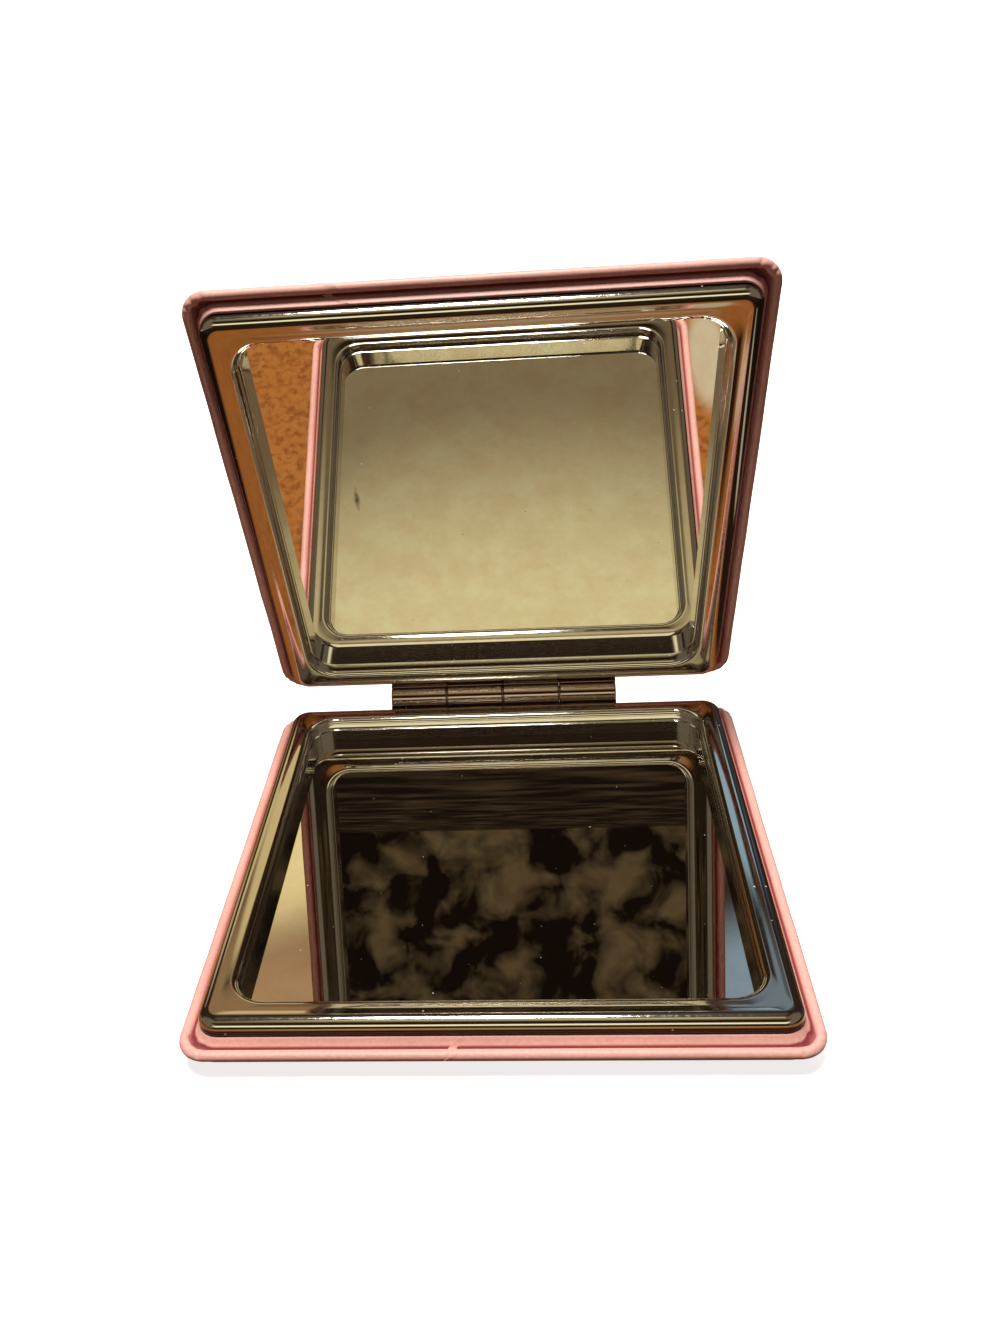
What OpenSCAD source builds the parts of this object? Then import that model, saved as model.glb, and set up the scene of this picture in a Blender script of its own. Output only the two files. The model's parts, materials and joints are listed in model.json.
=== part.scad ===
// Square compact mirror: two alike padded halves with chromed frames, joined by one hinge.
// The origin is the middle of the face the base rests on, +Z is up and the hinge is at +Y.

/* [Case] */
// Width of each half across its rim
case_w = 70; // [58:1:90]
// Depth of each half from front rim to back rim
case_d = 70; // [58:1:90]
// Corner radius of the rim
rim_corner_r = 3.4; // [3:0.1:6]
// Radius of the wrapped bead along the rim
bead_r = 0.6; // [0.55:0.05:0.75]
// Height of the bead's centre above the rest face
bead_height = 3; // [2.8:0.05:3.1]
// Thickness of the leatherette between the flange's edge and the bead's nose
nose_t = 0.45; // [0.35:0.05:0.55]
// How far the rim stands out beyond the frame's wall
rim_overhang = 2.1; // [2:0.1:2.8]

/* [Padding] */
// Thickness of the skin on the padded face
cover_t = 0.5; // [0.4:0.05:0.6]
// Thickness of the foam pad under the flat of the skin
pad_t = 0.5; // [0.4:0.05:0.6]
// How far the padded face curves in from the rim before it lies flat
pillow_w = 7; // [5:0.5:10]
// Thickness of the foam at the shell's lower edge
pad_edge_t = 0.1; // [0.05:0.05:0.2]

/* [Shell] */
// Thickness of the shell's floor
floor_t = 0.4; // [0.3:0.05:0.6]
// Thickness of the shell's flange inside the bead
flange_t = 0.4; // [0.3:0.05:0.5]
// Thickness of the shell's rim wall under the frame
rim_wall_t = 0.8; // [0.6:0.05:0.9]

/* [Edge band] */
// Thickness of the band where it lies flat on the flange
band_t = 0.25; // [0.2:0.01:0.3]
// Thickness of the band on the side wall
side_band_t = 0.45; // [0.3:0.05:0.55]
// How far the side band stands proud of the frame
side_band_proud = 0.15; // [0:0.05:0.2]

/* [Frame] */
// Height of the frame's outer wall
frame_side_h = 2.05; // [1.9:0.05:2.2]
// Corner radius of the frame
frame_corner_r = 2.6; // [2.4:0.1:5]
// Radius of the rounded shoulder
shoulder_r = 1.4; // [1:0.1:1.6]
// Thickness of the frame's metal
frame_t = 0.8; // [0.6:0.05:0.9]
// Width of the frame from its outer wall to the mirror opening
frame_w = 3.96; // [3.8:0.05:5]
// Corner radius of the mirror opening
opening_corner_r = 3.5; // [3:0.1:6]
// Radius of the lip round the opening
lip_r = 0.8; // [0.6:0.05:0.9]
// Width of the small step in the wall under the lip
step_w = 0.3; // [0.2:0.05:0.3]
// Depth of that step below the frame's top
step_depth = 1.7; // [1.5:0.05:1.9]

/* [Mirror] */
// Depth of the glass below the frame's top
glass_depth = 3.5; // [3.3:0.05:3.8]
// Thickness of the glass
glass_t = 1.1; // [1:0.05:1.3]
// How far the glass reaches under the frame
glass_lap = 1; // [0.9:0.05:1.1]
// Corner radius of the glass
glass_corner_r = 2.5; // [2:0.1:4]
// Clearance round the glass in its pocket
glass_clear = 0.15; // [0.1:0.01:0.2]
// Thickness of the adhesive sheet
tape_t = 0.2; // [0.1:0.01:0.3]
// How far the adhesive sheet stays back from the glass edge
tape_margin = 3; // [2:0.5:6]

/* [Hinge] */
// Width of the hinge over all its knuckles
hinge_w = 35; // [26:1:44]
// Gap between neighbouring knuckles
knuckle_gap = 0.3; // [0.2:0.05:0.5]
// Outer radius of the knuckles
barrel_r = 1.95; // [1.8:0.05:2]
// Radius of the hinge pin
pin_r = 0.75; // [0.6:0.05:0.9]
// Radial clearance between pin and knuckles
pin_clear = 0.05; // [0.02:0.01:0.1]
// Clearance between the knuckles and the frames' back walls
barrel_clear = 0.32; // [0.3:0.01:0.5]
// Thickness of the hinge leaf
leaf_t = 0.6; // [0.5:0.05:0.6]
// Clearance round the leaf in the frame's notch
leaf_clear = 0.05; // [0.03:0.01:0.08]
// Shank radius of the leaf rivets
rivet_r = 0.4; // [0.3:0.05:0.5]
// Head radius of the leaf rivets
rivet_head_r = 0.75; // [0.6:0.05:0.8]
// Clearance between a rivet head and the frame above it
rivet_head_clear = 0.1; // [0.05:0.01:0.12]
// Length of the rivet shank below the leaf
rivet_grip = 1.2; // [0.8:0.1:1.4]
// Clearance round the rivet shank
rivet_clear = 0.03; // [0.02:0.01:0.05]

/* [Magnets] */
// Length of each closure magnet
magnet_l = 10; // [6:1:14]
// Distance between the middles of the two magnets
magnet_spacing = 36; // [20:1:40]
// Clearance between a magnet and the metal round it
magnet_clear = 0.15; // [0.1:0.01:0.2]

/* [Pose] */
// Angle between the two halves
open_angle = 71; // [0:1:180]
// Gap between the two frames when the mirror is closed
parting_gap = 0.3; // [0.2:0.05:0.5]

/* [Hidden] */
$fn = 48;
// Extra length of every cut past the face it leaves
overrun = 0.4;
// Facets of the padded shapes' corners
pillow_facets = 32;
// How far a skin's thickness reaches sideways and downwards where it slants, as a share
slant_share = 0.7;
// How thin the slices are that the padded shapes are drawn through
slice_t = 0.01;
// Knuckles that the base's leaf carries, counted from the left, and all knuckles
BASE_KNUCKLES = [1, 3];
knuckle_count = 4;

// Heights above the rest face, from the skin up to the frame's top and the hinge axis
z_pad = cover_t;
z_shell = z_pad + pad_t;
z_floor = z_shell + floor_t;
z_tape = z_floor + tape_t;
z_glass = z_tape + glass_t;
z_top = z_glass + glass_depth;
z_sill = z_top - frame_side_h;
z_axis = z_top + parting_gap / 2;
z_bead_low = bead_height - bead_r;
z_flange = z_bead_low + band_t;
z_flange_top = z_flange + flange_t;

// Insets from the rim's outline
side_band_in = rim_overhang - side_band_proud;
rim_wall_in = side_band_in + side_band_t;
cavity_out_in = rim_overhang + frame_t;
pocket_rim_in = rim_wall_in + rim_wall_t;
opening_in = rim_overhang + frame_w;
upper_opening_in = opening_in - step_w;
cavity_in = opening_in - frame_t;
glass_in = opening_in - glass_lap;
pocket_in = glass_in - glass_clear;
tape_in = glass_in + tape_margin;
channel_out_in = max(pocket_rim_in, cavity_out_in);
channel_w = cavity_in - channel_out_in;

// Corner radii that follow from their neighbours
side_band_r = frame_corner_r + side_band_proud;
rim_wall_r = side_band_r - side_band_t;
cavity_out_r = frame_corner_r - frame_t;
pocket_rim_r = rim_wall_r - rim_wall_t;
upper_opening_r = opening_corner_r + step_w;
cavity_r = opening_corner_r + frame_t;
pocket_r = glass_corner_r + glass_clear;

// Hinge axis and leaf
axis_setback = barrel_r + barrel_clear - rim_overhang;
y_axis = case_d / 2 + axis_setback;
knuckle_w = (hinge_w - (knuckle_count - 1) * knuckle_gap) / knuckle_count;
z_leaf = z_axis - barrel_r;
y_seat = case_d / 2 - pocket_in;
seat_w = pocket_in - pocket_rim_in;
leaf_x0 = knuckle_x(BASE_KNUCKLES[0]);
leaf_x1 = knuckle_x(BASE_KNUCKLES[1]) + knuckle_w;
z_cavity = z_top - frame_t;
notch_h = z_leaf + leaf_t + leaf_clear - z_sill;
rivet_head_h = z_cavity - rivet_head_clear - z_leaf - leaf_t;

// Left end of a knuckle
function knuckle_x(i) = -hinge_w / 2 + i * (knuckle_w + knuckle_gap);

// Flat outline of a half, set in from the rim, with rounded corners
module outline(inset, r) {
    w = case_w - 2 * inset;
    d = case_d - 2 * inset;
    square([w - 2 * r, d], center = true);
    square([w, d - 2 * r], center = true);
    for (sx = [-1, 1], sy = [-1, 1])
        translate([sx * (w / 2 - r), sy * (d / 2 - r)]) circle(r);
}

// Straight-walled plate of that outline between two heights
module plate(inset, r, z0, z1) {
    translate([0, 0, z0]) linear_extrude(z1 - z0) outline(inset, r);
}

// Carries a flat profile round the outline: its X runs out from the corner's centre, its Y is height
module sweep(inset, r) {
    w = case_w - 2 * inset;
    d = case_d - 2 * inset;
    for (k = [0 : 3]) {
        along = k % 2 == 0 ? w : d;
        across = k % 2 == 0 ? d : w;
        rotate([0, 0, 90 * k]) {
            translate([r - along / 2, across / 2 - r, 0])
                rotate([90, 0, 90]) linear_extrude(along - 2 * r) children();
            translate([along / 2 - r, across / 2 - r, 0]) rotate_extrude(angle = 90) children();
        }
    }
}

// Quarter of a disc, in the corner between +X and +Y
module quarter_disc(r) {
    intersection() {
        circle(r);
        square(r);
    }
}

// Convex padded shape from the bead's underside down to the flat face, grown by a skin's thickness
module pillow(skin) {
    slant = pad_edge_t + skin * slant_share;
    levels = [
        [z_bead_low - slice_t, bead_r + cover_t - skin, rim_corner_r],
        [z_shell - slant, rim_wall_in - slant, rim_wall_r + slant],
        [z_pad - skin, pillow_w, rim_corner_r]
    ];
    hull() for (level = levels)
        translate([0, 0, level[0]]) linear_extrude(slice_t)
            outline(level[1], level[2], $fn = pillow_facets);
}

module cover_panel() {
    color("#e6a19b") difference() {
        pillow(cover_t);
        pillow(0);
        plate(bead_r + cover_t, rim_corner_r, z_bead_low - slice_t, z_bead_low + overrun);
    }
}

module foam_pad() {
    color("#d9d4c7") difference() {
        pillow(0);
        plate(rim_wall_in, rim_wall_r, z_shell, z_bead_low + overrun);
    }
}

module shell() {
    color("#3b3b3d") difference() {
        union() {
            difference() {
                union() {
                    plate(rim_wall_in, rim_wall_r, z_shell, z_sill);
                    plate(nose_t, rim_corner_r - nose_t, z_flange, z_flange_top);
                }
                plate(pocket_rim_in, pocket_rim_r, z_glass, z_sill + overrun);
            }
            translate([leaf_x0, y_seat, z_floor])
                cube([leaf_x1 - leaf_x0, seat_w, z_leaf - z_floor]);
        }
        plate(pocket_in, pocket_r, z_floor, z_glass + overrun);
        for (k = BASE_KNUCKLES) rivet_shank(k, rivet_r + rivet_clear);
    }
}

module edge_band() {
    color("#e8a39c") difference() {
        union() {
            sweep(0, rim_corner_r) translate([rim_corner_r - bead_r, bead_height]) circle(bead_r);
            plate(bead_r, rim_corner_r - bead_r, z_bead_low, z_flange_top + band_t);
            plate(side_band_in, side_band_r, z_flange, z_sill);
        }
        plate(rim_wall_in, rim_wall_r, z_bead_low - overrun, z_sill + overrun);
        plate(nose_t, rim_corner_r - nose_t, z_flange, z_flange_top);
    }
}

// Section of a block with a rounded top edge
module shouldered_section(r, h, shoulder) {
    square([r, h - shoulder]);
    square([r - shoulder, h]);
    translate([r - shoulder, h - shoulder]) quarter_disc(shoulder);
}

// Section of the waste that is cut away over a rounded lip
module lip_waste(r) {
    difference() {
        translate([r - overrun, z_top - lip_r]) square([lip_r + overrun, lip_r + overrun]);
        translate([r + lip_r, z_top - lip_r]) circle(lip_r);
    }
}

// The outer skirt of the frame before it is opened and hollowed
module frame_block() {
    w = case_w - 2 * rim_overhang;
    d = case_d - 2 * rim_overhang;
    translate([0, 0, z_sill]) linear_extrude(frame_side_h)
        square([w - 2 * frame_corner_r, d - 2 * frame_corner_r], center = true);
    sweep(rim_overhang, frame_corner_r)
        translate([0, z_sill]) shouldered_section(frame_corner_r, frame_side_h, shoulder_r);
}

// The hollow between the frame's outer and inner walls, open at the bottom
module frame_channel() {
    difference() {
        plate(cavity_out_in, cavity_out_r, z_glass - overrun, z_cavity);
        plate(cavity_in, cavity_r, z_glass - 2 * overrun, z_cavity + overrun);
    }
}

module frame() {
    color("#b9b4a6") difference() {
        union() {
            frame_block();
            plate(cavity_in, cavity_r, z_glass, z_top - step_depth);
        }
        frame_channel();
        plate(opening_in, opening_corner_r, z_glass - overrun, z_top + overrun);
        plate(upper_opening_in, upper_opening_r, z_top - step_depth, z_top + overrun);
        sweep(upper_opening_in, upper_opening_r) lip_waste(upper_opening_r);
        for (k = BASE_KNUCKLES)
            translate([knuckle_x(k) - leaf_clear, case_d / 2 - cavity_out_in - overrun, z_sill - overrun])
                cube([knuckle_w + 2 * leaf_clear, frame_t + 2 * overrun, notch_h + overrun]);
    }
}

module mirror_glass() {
    color("#c9d0d2") plate(glass_in, glass_corner_r, z_tape, z_glass);
}

module mirror_tape() {
    color("#e9e6dc") plate(tape_in, glass_corner_r, z_floor, z_tape);
}

// Bar magnets under the frame on both sides of the front edge's middle
module magnets() {
    y_front = channel_out_in + magnet_clear - case_d / 2;
    color("#8d8f93") for (side = [-1, 1])
        translate([side * magnet_spacing / 2 - magnet_l / 2, y_front, z_glass])
            cube([magnet_l, channel_w - 2 * magnet_clear, z_cavity - magnet_clear - z_glass]);
}

// Shank of the rivet below a knuckle's leaf, at the given radius
module rivet_shank(k, r) {
    translate([knuckle_x(k) + knuckle_w / 2, y_seat + seat_w / 2, z_leaf - rivet_grip])
        cylinder(h = rivet_grip + leaf_t, r = r);
}

// Leaf of one half with its two knuckles rolled round the pin's bore
module hinge_leaf() {
    color("#a9a598") difference() {
        union() {
            translate([leaf_x0, y_seat, z_leaf]) cube([leaf_x1 - leaf_x0, seat_w, leaf_t]);
            for (k = BASE_KNUCKLES) translate([knuckle_x(k), 0, 0]) {
                translate([0, y_seat, z_leaf]) cube([knuckle_w, y_axis - y_seat, leaf_t]);
                translate([0, y_axis, z_axis]) rotate([0, 90, 0]) cylinder(h = knuckle_w, r = barrel_r);
            }
        }
        translate([-hinge_w / 2 - overrun, y_axis, z_axis]) rotate([0, 90, 0])
            cylinder(h = hinge_w + 2 * overrun, r = pin_r + pin_clear);
        for (k = BASE_KNUCKLES) rivet_shank(k, rivet_r + rivet_clear);
    }
}

module leaf_rivets() {
    color("#8f8b80") for (k = BASE_KNUCKLES) {
        rivet_shank(k, rivet_r);
        translate([knuckle_x(k) + knuckle_w / 2, y_seat + seat_w / 2, z_leaf + leaf_t])
            cylinder(h = rivet_head_h, r = rivet_head_r);
    }
}

module hinge_pin() {
    color("#cfcabd") translate([-hinge_w / 2, y_axis, z_axis])
        rotate([0, 90, 0]) cylinder(h = hinge_w, r = pin_r);
}

// Turns a piece of the base half round and swings it up about the hinge, to where the lid has it
module in_lid() {
    translate([0, y_axis, z_axis]) rotate([-open_angle, 0, 0]) rotate([0, 180, 0])
        translate([0, -y_axis, -z_axis]) children();
}

cover_panel();  // base_cover_panel
foam_pad();  // base_foam_pad
shell();  // base_shell
edge_band();  // base_edge_band
frame();  // base_frame
mirror_glass();  // base_mirror
mirror_tape();  // base_mirror_tape
magnets();  // base_magnets
hinge_leaf();  // base_hinge_leaf
leaf_rivets();  // base_leaf_rivets
in_lid() cover_panel();  // lid_cover_panel
in_lid() foam_pad();  // lid_foam_pad
in_lid() shell();  // lid_shell
in_lid() edge_band();  // lid_edge_band
in_lid() frame();  // lid_frame
in_lid() mirror_glass();  // lid_mirror
in_lid() mirror_tape();  // lid_mirror_tape
in_lid() magnets();  // lid_magnets
in_lid() hinge_leaf();  // lid_hinge_leaf
in_lid() leaf_rivets();  // lid_leaf_rivets
hinge_pin();
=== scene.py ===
"""Square compact mirror: two padded halves with chromed frames, opened on one hinge."""

import json
import math

import bmesh
import bpy
from bpy.props import FloatProperty, FloatVectorProperty, PointerProperty
from mathutils import Euler, Matrix, Vector, noise


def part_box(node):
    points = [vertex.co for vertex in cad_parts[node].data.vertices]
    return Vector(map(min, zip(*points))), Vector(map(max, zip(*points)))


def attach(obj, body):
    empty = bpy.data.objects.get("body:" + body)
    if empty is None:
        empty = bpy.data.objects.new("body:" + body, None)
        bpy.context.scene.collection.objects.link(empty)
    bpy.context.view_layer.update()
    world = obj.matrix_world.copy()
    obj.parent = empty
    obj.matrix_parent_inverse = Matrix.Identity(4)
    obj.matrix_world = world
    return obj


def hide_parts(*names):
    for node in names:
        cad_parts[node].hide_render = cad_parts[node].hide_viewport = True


bl_info = {
    "name": "Compact mirror",
    "version": (1, 0, 0),
    "blender": (4, 5, 0),
    "location": "3D View > Sidebar > Compact mirror",
    "description": "Chromed frames, wrapped rims and padded covers of a square compact mirror",
    "category": "Object",
}

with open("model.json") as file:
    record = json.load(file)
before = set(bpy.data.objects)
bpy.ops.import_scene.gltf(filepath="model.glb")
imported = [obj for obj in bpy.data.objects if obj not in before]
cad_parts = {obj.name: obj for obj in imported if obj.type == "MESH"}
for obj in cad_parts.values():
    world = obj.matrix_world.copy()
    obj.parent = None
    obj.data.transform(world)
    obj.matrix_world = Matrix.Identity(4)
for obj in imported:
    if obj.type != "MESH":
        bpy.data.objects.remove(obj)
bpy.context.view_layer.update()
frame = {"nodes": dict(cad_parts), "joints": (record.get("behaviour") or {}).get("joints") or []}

MM = 0.001
HALVES = ("base", "lid")
JOINT = frame["joints"][0]
HINGE = Vector(JOINT["pos_m"])
OPENED = -math.radians(JOINT["range_deg"][0])
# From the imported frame, over the face that the base rests on: half the width of the case, the low
# and the high side of the edge band, the frame's top, the face of the glass, and half the length
# of the hinge pin
RIM_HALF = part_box("base_edge_band")[1].x
RIM_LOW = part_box("base_edge_band")[0].z
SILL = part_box("base_edge_band")[1].z
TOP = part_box("base_frame")[1].z
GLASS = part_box("base_mirror")[1].z
PIN_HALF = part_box("hinge_pin")[1].x
# Turns a piece that is made as the base's into the lid's, at the angle the lid stands at
TO_LID = (
    Matrix.Translation(HINGE)
    @ Matrix.Rotation(-OPENED, 4, "X")
    @ Matrix.Rotation(math.pi, 4, "Y")
    @ Matrix.Translation(-HINGE)
)


def size(name, description, mm):
    """A length in the sidebar, with its default in millimetres."""
    return FloatProperty(
        name=name, description=description, default=mm * MM, min=0, precision=5, unit="LENGTH"
    )


def linear(hex_colour):
    """An sRGB hex colour as the linear one that shaders take."""
    parts = [int(hex_colour[i : i + 2], 16) / 255 for i in (1, 3, 5)]
    return tuple(c / 12.92 if c <= 0.04045 else ((c + 0.055) / 1.055) ** 2.4 for c in parts)


def colour(name, description, hex_colour):
    """A colour in the sidebar, with its default in sRGB hex."""
    return FloatVectorProperty(
        name=name, description=description, default=linear(hex_colour), size=3, min=0, max=1,
        subtype="COLOR",
    )


class FrameSizes(bpy.types.PropertyGroup):
    """The pressed metal frame round each mirror."""

    overhang: size("Rim beyond the frame", "How far the rim stands out past the frame's wall", 2.1)
    wall_r: size("Corner radius", "Radius of the frame's outer corners", 2.6)
    shoulder_r: size("Shoulder radius", "Radius of the rounded outer shoulder", 1.4)
    width: size("Width", "From the outer wall to the mirror opening", 3.96)
    opening_r: size("Opening corner radius", "Radius of the mirror opening's corners", 3.5)
    lip_r: size("Lip radius", "Radius of the rolled lip round the opening", 0.8)
    step: size("Step width", "Width of the small step under the lip", 0.3)
    step_depth: size("Step depth", "Depth of that step under the frame's top", 1.7)
    metal: size("Metal thickness", "Thickness of the pressed sheet", 0.8)
    valley: size("Ledge hollow", "How deep the ledge sinks between shoulder and lip", 0.05)


class RimSizes(bpy.types.PropertyGroup):
    """The wrapped edge of each half."""

    corner_r: size("Corner radius", "Radius of the rim's corners in plan", 3.4)
    bead_r: size("Bead radius", "Radius of the wrapped bead", 0.6)
    strip_in: size("Strip inset", "How far in from the rim the standing strip lies", 1.95)
    strip_t: size("Strip thickness", "Thickness of the standing strip", 0.45)
    crease: size("Crease depth", "From the strip's top down to the crease at its foot", 1.03)
    # Painted shade: how far the crease's painted darkening reaches out of it
    shade_reach: size("Dirt reach", "How far the soiling spreads out of the crease", 0.34)
    pucker: size("Corner pucker", "Depth of the leatherette's folds in the corners", 0.16)
    gather: size("Corner gathers", "How far the strip's foot is gathered in the corners", 0.5)
    lump: size("Bead waviness", "How far the hand-glued bead wanders", 0.05)
    lap_t: size("Lap thickness", "Thickness of the band where its ends lap", 0.13)


class CoverSizes(bpy.types.PropertyGroup):
    """The padded outer cover of each half."""

    tuck: size("Tuck", "How far under the bead the cover is tucked", 1.05)
    roll: size("Roll width", "How far the cover rolls in before it lies flat", 7.0)
    crown: size("Crown", "How far the lid's cover swells in its middle", 0.35)
    wave: size("Waviness", "Height of the cover's slow undulation", 0.06)


class HingeSizes(bpy.types.PropertyGroup):
    """The two hinge leaves."""

    barrel_r: size("Knuckle radius", "Outer radius of the knuckles", 1.95)
    bore_r: size("Bore radius", "Radius of the knuckles' bore", 0.8)
    gap: size("Knuckle gap", "Gap between neighbouring knuckles", 0.04)
    web_r: size("Web radius", "Inner radius of the leaf's cupped web under the knuckles", 2.05)
    web_t: size("Web thickness", "Thickness of that web", 0.18)
    leaf_t: size("Leaf thickness", "Thickness of the leaf", 0.6)
    edge: size("Edge break", "Chamfer on the knuckles' ends", 0.22)


class FinishColours(bpy.types.PropertyGroup):
    """Colours of the finishes, and of the plain stage."""

    leatherette: colour("Leatherette", "Coated fabric of covers and rims", "#F0B8AC")
    leatherette_deep: colour("Leatherette, grain", "The same in its grain's valleys", "#E1A298")
    # Painted shade: the dark tone that the leatherette is painted in its creases and corner folds
    crease: colour("Leatherette, crease", "Soiled leatherette deep in a crease", "#7E2A30")
    chrome: colour("Chrome", "Plated frames", "#C9C4BC")
    # Painted shade: the hinge's plating is painted darker than the frames' chrome, for the dark
    # room that its knuckles reflect
    hinge: colour("Hinge", "Rubbed plating of the hinge leaves", "#A08E86")
    # Painted shade: the dark tone painted on the frames' foot in place of the dark reflection there
    foot_shade: colour("Tarnish", "Dirt where the plating meets the leatherette", "#38291F")
    silver: colour("Mirror", "Silvered glass", "#EDEDE8")
    film: colour("Film", "The glass under a breath of film", "#E9E3DC")
    smear: colour("Smear", "Dark smear on the lid's glass", "#3F3C2C")
    steel: colour("Steel", "Pin and rivets", "#B9B4AA")
    nickel: colour("Nickel", "Plated magnets", "#A6A7A9")
    shell: colour("Shell", "Moulded inner shell", "#3B3B3D")
    adhesive: colour("Adhesive", "Sheet behind the glass", "#E9E6DC")
    floor: colour("Floor", "Plain pale floor", "#D9CFC4")
    bounce: colour("Floor's bounce", "Tone that the floor's bounced light has", "#5A3C28")


class CompactSettings(bpy.types.PropertyGroup):
    """Everything that the panel lists."""

    frame: PointerProperty(type=FrameSizes)
    rim: PointerProperty(type=RimSizes)
    cover: PointerProperty(type=CoverSizes)
    hinge: PointerProperty(type=HingeSizes)
    finish: PointerProperty(type=FinishColours)


# Materials


def add_node(tree, kind, links=(), inputs=(), **settings):
    """Adds a node with its settings, its inputs' values and the links into it."""
    node = tree.nodes.new(kind)
    for key, value in settings.items():
        setattr(node, key, value)
    for key, value in dict(inputs).items():
        node.inputs[key].default_value = value
    for key, source in dict(links).items():
        tree.links.new(source, node.inputs[key])
    return node


def new_material(name):
    """An empty material, its tree and its output node."""
    material = bpy.data.materials.new(name)
    material.use_nodes = True
    tree = material.node_tree
    tree.nodes.clear()
    output = add_node(tree, "ShaderNodeOutputMaterial")
    return material, tree, output


def rgba(value):
    """A linear colour with the full alpha that a socket takes."""
    return (*value, 1)


def spread_from(tree, place, centre, reach):
    """How far a place is from a centre, with 1 at the reach along each axis."""
    off = add_node(tree, "ShaderNodeVectorMath", {0: place}, {1: centre}, operation="SUBTRACT")
    squeezed = add_node(
        tree, "ShaderNodeVectorMath", {0: off.outputs[0]}, {1: [1 / r for r in reach]},
        operation="MULTIPLY",
    )
    length = add_node(tree, "ShaderNodeVectorMath", {0: squeezed.outputs[0]}, operation="LENGTH")
    return length.outputs["Value"]


def dusted(tree, place, shader, tone, spacing_mm, speck, share):
    """The shader under motes of dust: pale matt specks 0.2 mm across, some millimetres apart."""
    specks = add_node(
        tree, "ShaderNodeTexVoronoi", {"Vector": place}, {"Scale": 1 / (spacing_mm * MM)}
    )
    dust = add_node(
        tree, "ShaderNodeMapRange", {"Value": specks.outputs["Distance"]},
        {"From Min": speck, "From Max": speck + 0.015, "To Min": share, "To Max": 0.0},
    )
    mote = add_node(
        tree, "ShaderNodeBsdfPrincipled", (), {"Base Color": rgba(linear(tone)), "Roughness": 0.9}
    )
    return add_node(
        tree, "ShaderNodeMixShader",
        {0: dust.outputs["Result"], 1: shader.outputs[0], 2: mote.outputs[0]},
    )


def leatherette(colours):
    """Polyurethane-coated fabric, embossed and glued over foam: soft sheen and a pebbled grain,
    a little darker in its valleys, and smoother where hands rub it."""
    material, tree, output = new_material("pink_pu_leatherette")
    place = add_node(tree, "ShaderNodeTexCoord").outputs["Object"]
    # Pebbles of the emboss, 0.42 mm across
    pebbles = add_node(
        tree, "ShaderNodeTexVoronoi", {"Vector": place}, {"Scale": 1 / (0.42 * MM)},
        feature="SMOOTH_F1",
    )
    # Fine creases between the pebbles, 0.2 mm apart
    creases = add_node(
        tree, "ShaderNodeTexNoise", {"Vector": place},
        {"Scale": 1 / (0.2 * MM), "Detail": 3, "Roughness": 0.6},
    )
    # Uneven dye and handling, in patches of 12 mm
    patches = add_node(
        tree, "ShaderNodeTexNoise", {"Vector": place}, {"Scale": 1 / (12 * MM), "Detail": 2}
    )
    grain = add_node(
        tree, "ShaderNodeMix", {"A": pebbles.outputs["Distance"], "B": creases.outputs["Fac"]},
        {"Factor": 0.35},
    )
    tone = add_node(
        tree, "ShaderNodeMapRange", {"Value": grain.outputs["Result"]},
        {"From Min": 0.2, "From Max": 0.75, "To Min": 0.0, "To Max": 0.8},
    )
    body = add_node(
        tree, "ShaderNodeMix", {"Factor": tone.outputs["Result"]},
        {"A": rgba(colours.leatherette), "B": rgba(colours.leatherette_deep)},
        data_type="RGBA",
    )
    # Painted shade: the leatherette is darkened towards the crease tone where the mesh's shade
    # attribute marks its creases and corner folds
    painted_shade = add_node(tree, "ShaderNodeAttribute", attribute_name="painted_shade")
    body = add_node(
        tree, "ShaderNodeMix", {"Factor": painted_shade.outputs["Fac"], "A": body.outputs["Result"]},
        {"B": rgba(colours.crease)},
        data_type="RGBA",
    )
    worn = add_node(
        tree, "ShaderNodeMapRange", {"Value": patches.outputs["Fac"]},
        {"From Min": 0.3, "From Max": 0.7, "To Min": 0.94, "To Max": 1.06},
    )
    shade = add_node(
        tree, "ShaderNodeVectorMath", {0: body.outputs["Result"], "Scale": worn.outputs["Result"]},
        operation="SCALE",
    )
    gloss = add_node(
        tree, "ShaderNodeMapRange", {"Value": patches.outputs["Fac"]},
        {"From Min": 0.3, "From Max": 0.7, "To Min": 0.42, "To Max": 0.56},
    )
    relief = add_node(
        tree, "ShaderNodeBump", {"Height": grain.outputs["Result"]},
        {"Strength": 0.35, "Distance": 0.06 * MM},
        invert=True,
    )
    shader = add_node(
        tree, "ShaderNodeBsdfPrincipled",
        {
            "Base Color": shade.outputs["Vector"],
            "Roughness": gloss.outputs["Result"],
            "Normal": relief.outputs["Normal"],
        },
        {"IOR": 1.5, "Sheen Weight": 0.12, "Sheen Roughness": 0.4},
    )
    tree.links.new(shader.outputs[0], output.inputs["Surface"])
    return material


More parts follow.
